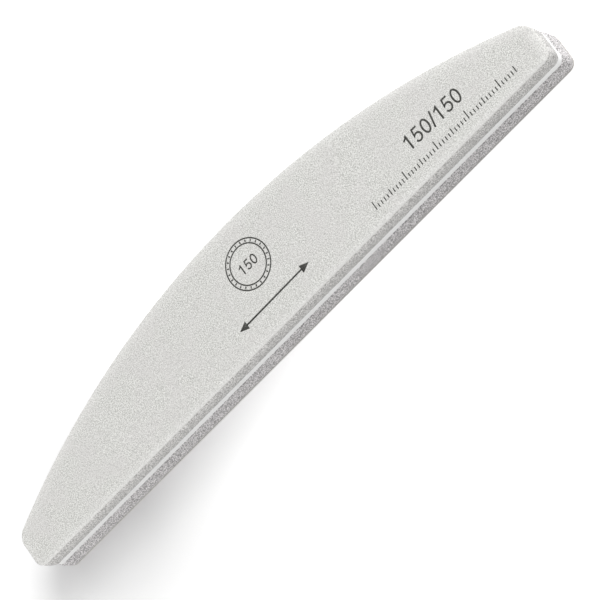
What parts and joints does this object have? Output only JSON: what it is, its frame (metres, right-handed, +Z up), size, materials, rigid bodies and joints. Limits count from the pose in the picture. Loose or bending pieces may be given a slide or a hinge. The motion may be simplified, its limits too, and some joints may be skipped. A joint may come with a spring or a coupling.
{
  "type": "nail buffer block",
  "caption": "Half-moon sponge nail buffer: abrasive faces bonded to soft foam pads either side of a thin rigid core plate, with rounded corners.",
  "frame": {"origin": "centre of the footprint's bounding box, on the lower abrasive face", "axes": "+X along the length, +Y from the straight edge towards the curved edge, +Z up through the layers, away from the face it rests on"},
  "size_m": [0.178, 0.0292, 0.0135],
  "materials": {
    "grit": "matte",
    "paper": "matte",
    "foam": "matte",
    "core_plastic": "satin",
    "adhesive": "satin",
    "ink": "matte"
  },
  "bodies": {
    "root": {"lower_grit_coat": "grit", "lower_backing_paper": "paper", "lower_face_adhesive": "adhesive", "lower_foam_pad": "foam", "lower_core_adhesive": "adhesive", "core_plate": "core_plastic", "upper_core_adhesive": "adhesive", "upper_foam_pad": "foam", "upper_face_adhesive": "adhesive", "upper_backing_paper": "paper", "upper_grit_coat": "grit"}
  },
  "joints": []
}
